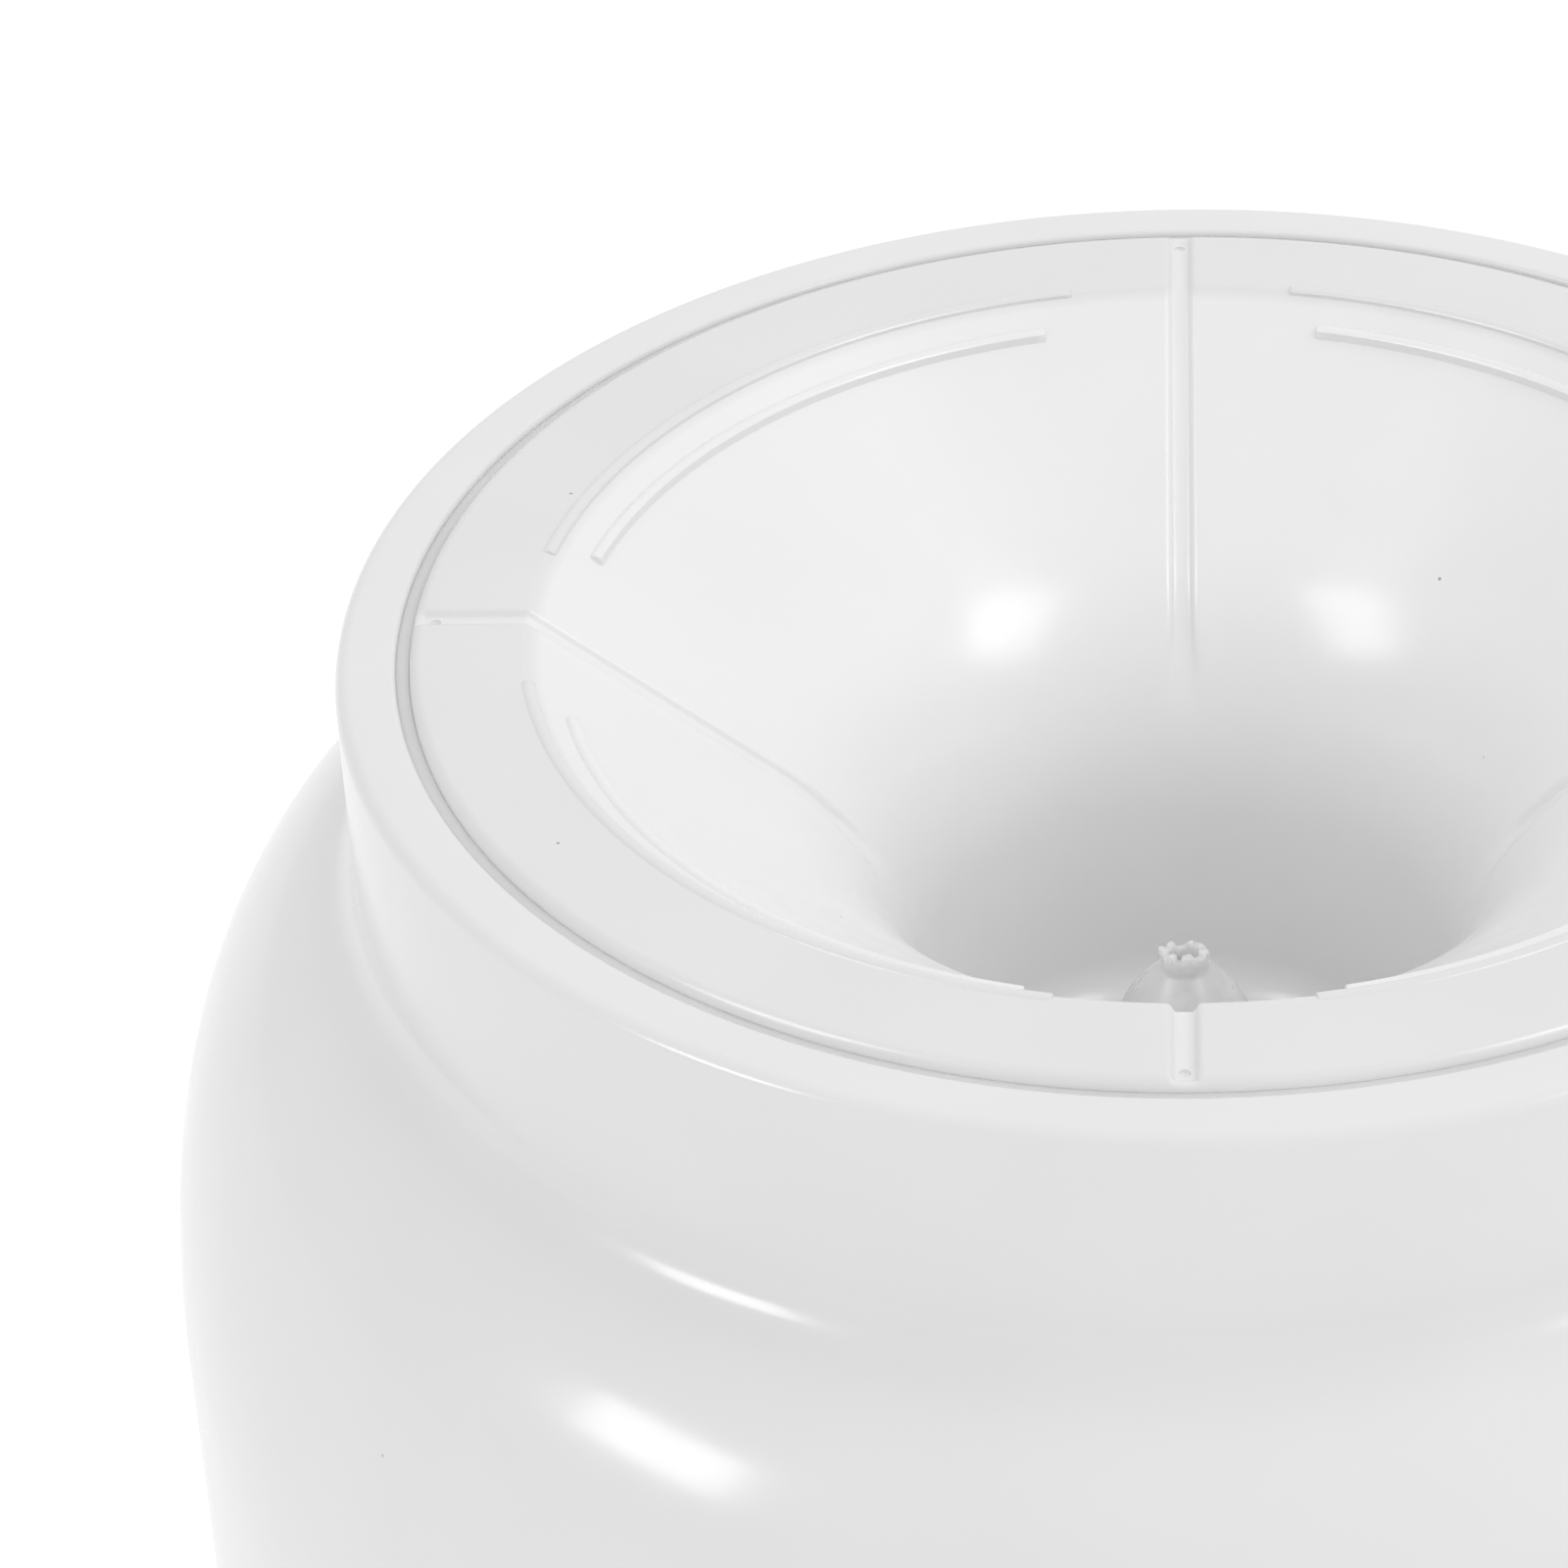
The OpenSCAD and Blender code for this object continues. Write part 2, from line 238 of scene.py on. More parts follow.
# %% Helpers that join, cut, bevel and shade
def apply_modifier(piece, kind, **settings):
    """Adds a modifier with these settings and applies it."""
    choose(piece)
    bpy.ops.object.modifier_add(type=kind)
    modifier = piece.modifiers[-1]
    for key, value in settings.items():
        setattr(modifier, key, value)
    bpy.ops.object.modifier_apply(modifier=modifier.name)


def boolean(piece, tool, operation):
    """Joins, cuts or keeps with a second mesh, which is then removed."""
    apply_modifier(piece, "BOOLEAN", operation=operation, object=tool, solver="EXACT")
    bpy.data.objects.remove(tool)
    edit(piece)
    tidy_mesh()
    leave_edit_mode()


def soften(piece, width, angle=40, segments=2):
    """Breaks the sharp edges of a piece."""
    limit = math.radians(angle)
    apply_modifier(
        piece, "BEVEL", width=width, segments=segments, limit_method="ANGLE", angle_limit=limit
    )


def smooth(piece, angle=30):
    """Shades a piece smooth, with edges sharper than the angle kept crisp."""
    choose(piece)
    bpy.ops.object.shade_smooth_by_angle(angle=math.radians(angle))
    return piece


def open_edges(piece):
    """How many edges of a piece don't have two faces."""
    mesh = bmesh.new()
    mesh.from_mesh(piece.data)
    count = sum(1 for e in mesh.edges if len(e.link_faces) != 2)
    mesh.free()
    return count


def place(piece, body, slot, material, *nodes):
    """Gives a finished piece its finish and its body, and hides the nodes that it stands for."""
    piece.data.materials.clear()
    piece.data.materials.append(material)
    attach(piece, body)
    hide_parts(*nodes)
    print(piece.name, "-", len(piece.data.polygons), "faces,", open_edges(piece), "open edges")


# %% [markdown]
# ## Finishes
# Nearly all of it is white, so the differences are small and each matters: a hard glaze with
# pinholes and a faint waviness, a softer moulded plastic with painted shade that darkens the
# flange's flat top, a natural plastic that lets some light through, the tap's plastic, milky
# silicone, and the bright wire of the spring. Each finish is a Principled shader. Noise in object
# space varies the tone by a percent or more and the roughness by about a tenth, as on real ware.

# %% Node helpers
def new_material(name):
    """A material, its node tree and its Principled shader."""
    material = bpy.data.materials.new(name)
    material.use_nodes = True
    tree = material.node_tree
    return material, tree, tree.nodes["Principled BSDF"]


def texture(tree, kind, scale, **inputs):
    """A texture node on object coordinates."""
    where = tree.nodes.new("ShaderNodeTexCoord")
    node = tree.nodes.new(kind)
    node.inputs["Scale"].default_value = scale
    for key, value in inputs.items():
        node.inputs[key].default_value = value
    tree.links.new(where.outputs["Object"], node.inputs["Vector"])
    return node


def spread(tree, source, low, high, from_low=0.35, from_high=0.65):
    """Maps a value to a range."""
    node = tree.nodes.new("ShaderNodeMapRange")
    node.inputs["From Min"].default_value = from_low
    node.inputs["From Max"].default_value = from_high
    node.inputs["To Min"].default_value = low
    node.inputs["To Max"].default_value = high
    tree.links.new(source, node.inputs["Value"])
    return node.outputs["Result"]


def combine(tree, operation, first, second):
    """Two values put through one math operation."""
    node = tree.nodes.new("ShaderNodeMath")
    node.operation = operation
    tree.links.new(first, node.inputs[0])
    tree.links.new(second, node.inputs[1])
    return node.outputs[0]


def bumps(tree, shader, *layers):
    """Stacks bump layers of (height, strength, distance) under the shader's normal."""
    normal = None
    for height, strength, distance in layers:
        node = tree.nodes.new("ShaderNodeBump")
        node.inputs["Strength"].default_value = strength
        node.inputs["Distance"].default_value = distance
        tree.links.new(height, node.inputs["Height"])
        if normal:
            tree.links.new(normal, node.inputs["Normal"])
        normal = node.outputs["Normal"]
    tree.links.new(normal, shader.inputs["Normal"])


# %% A white finish with mottle, wear, grain, optional pinholes and optional painted shade at the top
GRAIN_BUMP = (0.05, 0.0002)
WAVE_SCALE, WAVE_DEEP = 14, 0.004
PINHOLE_EDGE, PINHOLE_CELLS = (0.012, 0.020), (0.50, 0.51)
PINHOLE_TONE, PINHOLE_BUMP = 0.45, (0.6, 0.0004)
# Painted shade: surfaces at or above this band are darkened, so the flat top of the bowl's flange
# looks less lit.
PAINTED_SHADE_BAND = (RIM - 1.6 * MM, RIM - 0.3 * MM)
WEAR_SCALE, WEAR_LOW, WEAR_HIGH = 2.3, 0.88, 1.14


def white_finish(name, tone, rough, mottle=0.010, mottle_scale=30, grain=300, wave=0.0, pinholes=0,
                 shaded_top=1.0):
    """A white surface whose tone, roughness and height vary as on real ware, and whose top is darkened
    as painted shade when shaded_top is under 1.
    """
    material, tree, shader = new_material(name)
    tint = texture(tree, "ShaderNodeTexNoise", mottle_scale, Detail=4)
    value = spread(tree, tint.outputs["Fac"], tone - mottle, tone + mottle)
    fine = texture(tree, "ShaderNodeTexNoise", grain, Detail=2)
    layers = [(fine.outputs["Fac"], *GRAIN_BUMP)]
    if wave:
        slow = texture(tree, "ShaderNodeTexNoise", WAVE_SCALE, Detail=1)
        layers.append((slow.outputs["Fac"], wave, WAVE_DEEP))
    if pinholes:
        cells = texture(tree, "ShaderNodeTexVoronoi", pinholes)
        dot = spread(tree, cells.outputs["Distance"], 0, 1, *PINHOLE_EDGE)
        few = spread(tree, cells.outputs["Color"], 0, 1, *PINHOLE_CELLS)
        clear = combine(tree, "MAXIMUM", dot, few)
        value = combine(tree, "MULTIPLY", value, spread(tree, clear, PINHOLE_TONE, 1, 0, 1))
        layers.append((clear, *PINHOLE_BUMP))
    # Painted shade: the tone falls to shaded_top through the band, darkening whatever lies at the
    # rim's height.
    if shaded_top < 1:
        where = tree.nodes.new("ShaderNodeTexCoord")
        split = tree.nodes.new("ShaderNodeSeparateXYZ")
        tree.links.new(where.outputs["Object"], split.inputs["Vector"])
        top_shade = spread(tree, split.outputs["Z"], 1, shaded_top, *PAINTED_SHADE_BAND)
        value = combine(tree, "MULTIPLY", value, top_shade)
    colour = tree.nodes.new("ShaderNodeCombineColor")
    for channel in ("Red", "Green", "Blue"):
        tree.links.new(value, colour.inputs[channel])
    tree.links.new(colour.outputs["Color"], shader.inputs["Base Color"])
    wear = texture(tree, "ShaderNodeTexNoise", mottle_scale * WEAR_SCALE, Detail=3)
    worn = spread(tree, wear.outputs["Fac"], rough * WEAR_LOW, rough * WEAR_HIGH)
    tree.links.new(worn, shader.inputs["Roughness"])
    bumps(tree, shader, *layers)
    return material, shader


def let_light_in(shader, weight, depth):
    """Lets light travel a little way under the surface."""
    shader.inputs["Subsurface Weight"].default_value = weight
    shader.inputs["Subsurface Radius"].default_value = (depth, depth, depth)
    shader.inputs["Subsurface Scale"].default_value = 1.0


# %% The six finishes
glaze, glaze_shader = white_finish("white glaze", 0.77, 0.20, mottle=0.007, wave=0.10, pinholes=60)
glaze_shader.inputs["Coat Weight"].default_value = 0.25
glaze_shader.inputs["Coat Roughness"].default_value = 0.12

# The moulding gets painted shade on its flange top, whose tone drops by a tenth there.
moulding, _ = white_finish(
    "moulded white plastic", 0.825, 0.24, mottle=0.009, pinholes=70, shaded_top=0.90
)

natural, natural_shader = white_finish("natural plastic", 0.68, 0.30, mottle=0.04, mottle_scale=160)
let_light_in(natural_shader, 1.0, 0.006)

tap_white, _ = white_finish("tap plastic", 0.75, 0.24, mottle=0.008, grain=500)

silicone, silicone_shader = white_finish("milky silicone", 0.66, 0.5, mottle=0.02, grain=700)
let_light_in(silicone_shader, 0.4, 0.002)

steel, steel_shader = white_finish("bright steel wire", 0.62, 0.24, mottle=0.03, mottle_scale=300)
steel_shader.inputs["Metallic"].default_value = 1.0
print("finishes:", [m.name for m in bpy.data.materials if m.users])

# %% [markdown]
# ## The crock
#
# The pot is one thrown and glazed form: a flat lip with a rebate inside it, a short straight
# neck, a small fillet, a round shoulder, a straight belly and a rounded foot. One section holds
# both its outside and its inside, so a single spin gives a wall of true thickness. The pad for
# the tap flares into the belly, as clay does where a boss is luted on, and the hole is drilled
# last.

# %% The crock's section
LIP_ROUND = 2.2 * MM
LIP_TOP = RIM - 0.7 * MM
REBATE_ROUND = 0.8 * MM
LEDGE_ROUND = 1.5 * MM
NECK_HIGH = 31.3 * MM
FILLET = 9.5 * MM
SHOULDER_START = math.radians(30)
SHOULDER_HIGH = 110 * MM
SHOULDER_REACH = 19 * MM
BELLY_REACH = 41 * MM
INNER_OUT, INNER_DOWN, INNER_FIRST = 0.1, 0.6, 5
BELLY_ROWS = range(42, 206, 8)
THROAT_DEEP = 14 * MM
FOOT_ROUND = 30 * MM
FOOT_EDGE = 4 * MM
FLOOR = 12 * MM
FLOOR_ROUND = 24 * MM


def shoulder(inset):
    """The curve from the neck's fillet out to the belly, moved inward by inset."""
    r0 = NECK + FILLET * (1 - math.sin(SHOULDER_START)) + inset * INNER_OUT
    z0 = RIM - NECK_HIGH - FILLET * math.cos(SHOULDER_START) - inset
    z3 = RIM - SHOULDER_HIGH - inset * INNER_DOWN
    r1 = r0 + SHOULDER_REACH * math.cos(SHOULDER_START)
    z1 = z0 - SHOULDER_REACH * math.sin(SHOULDER_START)
    return curve((r0, z0), (r1, z1), (BELLY - inset, z3 + BELLY_REACH), (BELLY - inset, z3), 36)


def belly_wall(radius):
    """Points up the straight wall, close enough together for the pad to join it cleanly."""
    return [(radius, z * MM) for z in BELLY_ROWS]


outside = (
    arc(REBATE + REBATE_ROUND, LIP_TOP - REBATE_ROUND, REBATE_ROUND, 180, 90, 5)
    + arc(NECK - LIP_ROUND, LIP_TOP - LIP_ROUND, LIP_ROUND, 90, 0, 10)
    + arc(NECK + FILLET, RIM - NECK_HIGH, FILLET, 180, 240, 14)
    + shoulder(0)[1:]
    + belly_wall(BELLY)[::-1]
    + arc(BELLY - FOOT_ROUND, FOOT_ROUND, FOOT_ROUND, 0, -75, 18)
    + [(BELLY - FOOT_ROUND + FOOT_EDGE, 0), (0, 0)]
)
inside = (
    [(0, FLOOR)]
    + arc(BELLY - WALL - FLOOR_ROUND, FLOOR + FLOOR_ROUND, FLOOR_ROUND, -90, 0, 12)
    + belly_wall(BELLY - WALL)
    + shoulder(WALL)[:INNER_FIRST:-1]
    + [(MOUTH, RIM - NECK_HIGH - THROAT_DEEP)]
    + arc(MOUTH + LEDGE_ROUND, RIM - REBATE_DEEP - LEDGE_ROUND, LEDGE_ROUND, 180, 90, 5)
    + [(REBATE, RIM - REBATE_DEEP)]
)
print("section:", len(inside) + len(outside), "points")

# %% Spin the crock, add the pad and drill it
TAP_HIGH = 62 * MM
tap_foot = {"foot": (0, 0, TAP_HIGH), "axis": (0, -1, 0), "across": (1, 0, 0)}
BOSS, BOSS_FACE, BOSS_INNER, BOSS_ROUND = 21 * MM, 151.5 * MM, 138.5 * MM, 1.5 * MM
HOLE, DRILL_IN, DRILL_OUT = 8.6 * MM, 0.12, 0.17

crock = turn("crock", inside + outside, 256)
pad_section = (
    [(0, BOSS_INNER), (BOSS, BOSS_INNER)]
    + [(BOSS + 5 * MM, BOSS_FACE - 7 * MM), (BOSS + 1.2 * MM, BOSS_FACE - 2.2 * MM)]
    + arc(BOSS - BOSS_ROUND, BOSS_FACE - BOSS_ROUND, BOSS_ROUND, 0, 90, 5)
    + [(0, BOSS_FACE)]
)
pad = turn("pad", pad_section, 96, **tap_foot)
boolean(crock, pad, "UNION")
drill = turn("drill", bar(HOLE, DRILL_IN, DRILL_OUT), 64, **tap_foot)
boolean(crock, drill, "DIFFERENCE")
smooth(crock, 35)
place(crock, "crock", "crock_glaze", glaze, "crock_body")

# %% [markdown]
# ## The bottle bowl
#
# The bowl is one moulding. Its flange lies in the rebate, then the wall runs down as a dish and
# turns into a narrow well for the bottle's neck. Four air channels run down the dish. Lines at
# any depth under the surface are needed for the wall and for the channels, so one function gives
# the surface at a given depth.

# %% The bowl's section
DISH_SLOPE = 38
BLEND_AT, BLEND, BLEND_STEPS = 92.5 * MM, 2.3 * MM, 8
RAMP_STEPS = 12
TURN_AT, TURN = 57.5 * MM, 50 * MM
WELL_SLOPE = 85
WELL, WELL_FILLET = 36.2 * MM, 8 * MM
FLANGE_HIGH, EDGE_ROUND = 5.2 * MM, 1.9 * MM
FLAT_OUT, FLAT_STEP, FLAT_ROWS = 104.5 * MM, 2.4 * MM, 4
TAIL_HOLE = 12.1 * MM
SKIRT, SKIRT_WALL, SKIRT_DEEP = 101 * MM, 2.4 * MM, 16 * MM

slope = math.radians(DISH_SLOPE)
run_z = RIM - BLEND * (1 - math.cos(slope))
run_r = BLEND_AT - BLEND * math.sin(slope)
turn_z = run_z - (run_r - TURN_AT) * math.tan(slope)
turn_centre = (TURN_AT + TURN * math.sin(slope), turn_z - TURN * math.cos(slope))


def dish(depth):
    """The line of the dish and well, a given depth under its surface."""
    lip = arc(BLEND_AT, RIM - BLEND, BLEND - depth, 90, 90 + DISH_SLOPE, BLEND_STEPS)
    bend = arc(*turn_centre, TURN - depth, 90 + DISH_SLOPE, 90 + WELL_SLOPE, 24)
    foot = arc(WELL - WELL_FILLET, RIM + WELL_FILLET - WELL_DEEP, WELL_FILLET + depth, 0, -90, 10)
    ends = list(zip(lip[-1], bend[0]))
    ramp = [tuple(a + (b - a) * i / RAMP_STEPS for a, b in ends) for i in range(1, RAMP_STEPS)]
    return lip + ramp + bend + foot


def top_side(depth):
    """The flange's round edge, its flat and the dish, a given depth under the surface."""
    edge = arc(FLANGE - EDGE_ROUND, RIM - EDGE_ROUND, EDGE_ROUND - depth, 0, 90, 10)
    flat = [(FLAT_OUT - i * FLAT_STEP, RIM - depth) for i in range(FLAT_ROWS)]
    return edge + flat + dish(depth)


under = dish(BOWL_WALL)[BLEND_STEPS + 1:]
under_out = under[0][0] + (RIM - FLANGE_HIGH - under[0][1]) / math.tan(slope)
bowl_section = (
    [(FLANGE, RIM - FLANGE_HIGH)]
    + top_side(0)
    + [(TAIL_HOLE, RIM - WELL_DEEP), (TAIL_HOLE, RIM - WELL_DEEP - BOWL_WALL)]
    + under[::-1]
    + [(under_out, RIM - FLANGE_HIGH), (SKIRT - SKIRT_WALL, RIM - FLANGE_HIGH)]
    + [(SKIRT - SKIRT_WALL, RIM - SKIRT_DEEP), (SKIRT, RIM - SKIRT_DEEP), (SKIRT, RIM - FLANGE_HIGH)]
)
BOWL_STEPS = 360
bowl = turn("bottle_bowl", bowl_section, BOWL_STEPS, closed=True)
print("bowl spun with", len(bowl.data.vertices), "vertices")

# %% [markdown]
# ## Pressing the air channels
#
# A channel keeps one width all the way down, while the columns of a turned mesh fan out. So near
# each channel the columns are drawn together into parallel lines: two for the channel's floor,
# then the flanks, then the soft upper edges. The floor columns are pushed down to the deeper
# line of the section. Both fade out where the dish turns into the well, and the depth also runs
# out just before the flange's edge, so that the edge stays whole.

# %% Press four channels into the columns
CHANNEL_DEEP = 1.1 * MM
CHANNEL_LINES = [(0.0, 1.0), (1.05 * MM, 1.0), (1.3 * MM, 0.86), (1.52 * MM, 0.5), (1.8 * MM, 0.16),
                 (2.2 * MM, 0.03), (2.6 * MM, 0.0)]
GUARD, LAST_COLUMN = 3.1 * MM, 14
FADE_IN, FADE_OUT = 41 * MM, 50 * MM
SHUT, OPEN = 0.1 * MM, 1.7 * MM
SAME_PLACE = 5e-6
QUARTERS = [0, 90, 180, 270]

surface, deep = top_side(0), top_side(CHANNEL_DEEP)
pressed = 0


def column_line(column, radius):
    """How far aside a column runs beside a channel, and its share of the depth."""
    def natural(count):
        return radius * math.sin(math.radians(count * 360 / BOWL_STEPS))
    if column < len(CHANNEL_LINES):
        return (*CHANNEL_LINES[column], natural(column))
    first = len(CHANNEL_LINES)
    share = (column - first) / (LAST_COLUMN - first)
    return GUARD + (natural(LAST_COLUMN) - GUARD) * share, 0.0, natural(column)


for vertex in bowl.data.vertices:
    x, y, z = vertex.co
    radius = math.hypot(x, y)
    rows = (i for i, (r, h) in enumerate(surface) if abs(r - radius) + abs(h - z) < SAME_PLACE)
    row = next(rows, None)
    angle = math.degrees(math.atan2(y, x)) % 360
    quarter = round(angle / 90) * 90
    column = round((angle - quarter) * BOWL_STEPS / 360)
    if row is None or abs(column) >= LAST_COLUMN:
        continue
    (r0, z0), (r1, z1) = surface[row], deep[row]
    amount = ease(r0, FADE_IN, FADE_OUT)
    aside, share, own = column_line(abs(column), r0)
    aside = math.copysign(own + (aside - own) * amount, column)
    share *= amount * ease(FLANGE - r0, SHUT, OPEN)
    r, z = r0 + (r1 - r0) * share, z0 + (z1 - z0) * share
    along = math.sqrt(r * r - aside * aside)
    turned = Matrix.Rotation(math.radians(quarter), 3, "Z") @ Vector((along, aside, 0))
    vertex.co = (turned.x, turned.y, z)
    pressed += 1
print("vertices pressed:", pressed)

# %% [markdown]
# ## Ribs and dimples
#
# Two raised ribs run round the top of the dish in each quarter. A rib is round on its outer side
# and runs out gently down the dish on its inner side. Its section is spun through part of a turn,
# and its ends are broken by a bevel. One pair is made and turned into the other three quarters.
# The dimples at the outer ends of the channels are small round-nosed pits.

# %% Ribs
RIB, RIB_RUN, RIB_FOOT = 1.25 * MM, 1.9 * MM, -0.5 * MM
RIB_ROUND_TO, RIB_END = 74, 0.3 * MM
RIBS = [(91.9 * MM, 0.92 * MM, 16.7 * MM), (86.7 * MM, 4.3 * MM, 20.6 * MM)]


def copy_turned(piece, degrees):
    """A copy with its own mesh, turned round the upright axis."""
    twin = bpy.data.objects.new(piece.name + "_copy", piece.data.copy())
    twin.data.transform(Matrix.Rotation(math.radians(degrees), 4, "Z"))
    bpy.context.scene.collection.objects.link(twin)
    return twin


def join(pieces):
    """Makes several pieces one, named as the first."""
    leave_edit_mode()
    for piece in pieces:
        piece.select_set(True)
    bpy.context.view_layer.objects.active = pieces[0]
    bpy.ops.object.join()
    return pieces[0]


def rib(radius, depth, gap):
    """One rib, from gap beyond one channel to gap before the next."""
    skip = math.asin(gap / radius)
    top = arc(0, 0, RIB, 180, RIB_ROUND_TO, 9)
    across = [(-RIB, -RIB)] + top + [(RIB_RUN, RIB_FOOT), (RIB_RUN, -RIB)]
    down = (-math.cos(slope), -math.sin(slope))
    up = (-math.sin(slope), math.cos(slope))
    z = RIM - depth
    ring = [(radius + s * down[0] + n * up[0], z + s * down[1] + n * up[1]) for s, n in across]
    start = [Matrix.Rotation(-skip, 3, "Z") @ Vector((r, 0, h)) for r, h in ring]
    piece = draw("rib", start)
    close_chain(piece)
    bpy.ops.mesh.select_all(action="SELECT")
    bpy.ops.mesh.spin(steps=64, angle=math.pi / 2 - 2 * skip, center=(0, 0, 0), axis=(0, 0, 1))
    bpy.ops.mesh.select_all(action="SELECT")
    bpy.ops.mesh.region_to_loop()
    bpy.ops.mesh.edge_face_add()
    tidy_mesh()
    mesh = bmesh.from_edit_mesh(piece.data)
    mark(piece, mesh, lambda e: any(len(f.verts) > 4 for f in e.link_faces), "edges")
    bpy.ops.mesh.bevel(offset=RIB_END, segments=3)
    tidy_mesh()
    leave_edit_mode()
    return piece


pair = [rib(*sizes) for sizes in RIBS]
ribs = join(pair + [copy_turned(piece, degrees) for piece in pair for degrees in QUARTERS[1:]])
print("ribs:", len(ribs.data.polygons), "faces,", open_edges(ribs), "open edges")
boolean(bowl, ribs, "UNION")

# %% Dimples
DIMPLE, DIMPLE_AT, DIMPLE_DEEP = 0.8 * MM, 104.9 * MM, 1.9 * MM
nose = arc(0, RIM - DIMPLE_DEEP + DIMPLE, DIMPLE, -90, 0, 6)
pit = turn("pit", nose + [(DIMPLE, RIM + MM), (0, RIM + MM)], 24)
pit.data.transform(Matrix.Translation((DIMPLE_AT, 0, 0)))
pits = join([pit] + [copy_turned(pit, degrees) for degrees in QUARTERS[1:]])
boolean(bowl, pits, "DIFFERENCE")
smooth(bowl, 37)
place(bowl, "bowl", "bowl_plastic", moulding, "insert_bowl")

# %% [markdown]
# ## The gasket
#
# A soft ring lies between the flange and the rebate's ledge. Its outer lip stands up in the gap
# between the two rims and fills it, so that nothing falls down there. That lip is why the gap
# looks like a shallow grey line and not like a deep slot.

# %% The gasket
GAP_LEFT = 1.7 * MM
LIP_IN, LIP_OUT = FLANGE + 0.02 * MM, REBATE - 0.02 * MM
GASKET_IN = MOUTH + 1.5 * MM
gasket_section = (
    [(GASKET_IN, RIM - REBATE_DEEP), (LIP_OUT, RIM - REBATE_DEEP)]
    + [(LIP_OUT, RIM - GAP_LEFT), (LIP_IN, RIM - GAP_LEFT)]
    + [(LIP_IN, RIM - FLANGE_HIGH), (GASKET_IN, RIM - FLANGE_HIGH)]
)
gasket = turn("bowl_gasket", gasket_section, 256, closed=True)
smooth(gasket)
place(gasket, "bowl", "clear_silicone", silicone, "insert_gasket")

# %% [markdown]
# ## The feed spike
#
# The spike is a thin bulged cone of natural plastic, open at the tip, where a ragged crown is
# left. It is turned as a shell, and then the crown's rows are pulled down between its teeth, the
# crown is tilted a little and some teeth are bent outward. Three side holes near its foot let the
# liquid through, and ridges on its tail stand for the thread.

# %% The spike
CROWN, SPIKE_WALL = 3.3 * MM, 1.1 * MM
TAIL, TAIL_BORE = 12 * MM, 9.5 * MM
SPIKE_FLANGE, SPIKE_FLANGE_HIGH = 17 * MM, 2.5 * MM
SPIKE_STEPS = 144
well_floor = RIM - WELL_DEEP
base = well_floor + 1.5 * MM
shelf = base + SPIKE_FLANGE_HIGH
tip = spike_high.z


def thread(radius, low, high, pitch=2 * MM, depth=0.5 * MM):
    """Ridges of a thread up a shank, as (radius, height) points from low to high."""
    turns = int((high - low) / pitch)
    ridges = []
    for i in range(turns):
        z = low + i * pitch
        ridges += [(radius - depth, z), (radius - depth, z + pitch * 0.3), (radius, z + pitch * 0.55)]
        ridges += [(radius, z + pitch * 0.75)]
    return ridges + [(radius - depth, low + turns * pitch)]


flank = curve((TAIL + MM, shelf + MM), (TAIL + 0.1 * MM, shelf + 18 * MM),
              (CROWN + 4.4 * MM, tip - 6.5 * MM), (CROWN, tip - 2 * MM), 24)
heights = [tip - 1.2 * MM, tip - 0.5 * MM, tip]
crown_rows = [(CROWN, z) for z in heights] + [(CROWN - SPIKE_WALL, z) for z in heights[::-1]]
spike_section = (
    thread(TAIL, spike_low.z, well_floor - 4 * MM)
    + [(TAIL, well_floor - 3.5 * MM), (TAIL, base)]
    + arc(SPIKE_FLANGE - 0.6 * MM, base + 0.6 * MM, 0.6 * MM, -90, 0, 3)
    + arc(SPIKE_FLANGE - 0.9 * MM, shelf - 0.9 * MM, 0.9 * MM, 0, 90, 4)
    + arc(TAIL + 2 * MM, shelf + MM, MM, -90, -180, 4)
    + flank
    + crown_rows
    + [(CROWN - SPIKE_WALL, tip - 5 * MM), (TAIL_BORE, shelf), (TAIL_BORE, spike_low.z)]
)
spike = turn("feed_spike_tip", spike_section, SPIKE_STEPS, closed=True)
print("spike turned with", len(spike.data.vertices), "vertices")

# %% Tear the crown, bend some teeth and drill the side holes
GAPS = [(12, 22, 0.9), (58, 10, 0.5), (100, 26, 1.0), (150, 12, 0.6), (205, 20, 0.7),
        (252, 14, 1.1), (322, 26, 0.8)]
BENT = [(165, 18, 0.5), (215, 14, 0.2), (15, 16, 0.4), (60, 10, 0.2)]
CROWN_TILT, CROWN_DEEP, WORN_OFF = 1.3, 2.1 * MM, 0.15
RIPPLES = [(0.09, 11, 0), (0.05, 23, 40)]
SIDE_HOLE, SIDE_HOLE_UP, BIT_REACH = 2.5 * MM, 5 * MM, 0.016


def near(angle, centre, half_width):
    """1 at a direction, falling to 0 at half_width on either side."""
    return 1 - ease(abs((angle - centre + 180) % 360 - 180), 0.35 * half_width, half_width)


for vertex in spike.data.vertices:
    x, y, z = vertex.co
    radius, angle = math.hypot(x, y), math.degrees(math.atan2(y, x)) % 360
    share = ease(z, tip - CROWN_DEEP, tip)
    if radius > CROWN + 0.2 * MM or share == 0:
        continue
    torn = max(near(angle, centre, half) * deep_by for centre, half, deep_by in GAPS)
    ripple = sum(size * math.sin(math.radians(angle * n + start)) for size, n, start in RIPPLES)
    ripple -= CROWN_TILT * (1 - y / radius) / 2
    outward = max(near(angle, centre, half) * by for centre, half, by in BENT) * MM * share
    vertex.co.z -= (torn + ripple + WORN_OFF) * MM * share
    vertex.co.x += x / radius * outward
    vertex.co.y += y / radius * outward

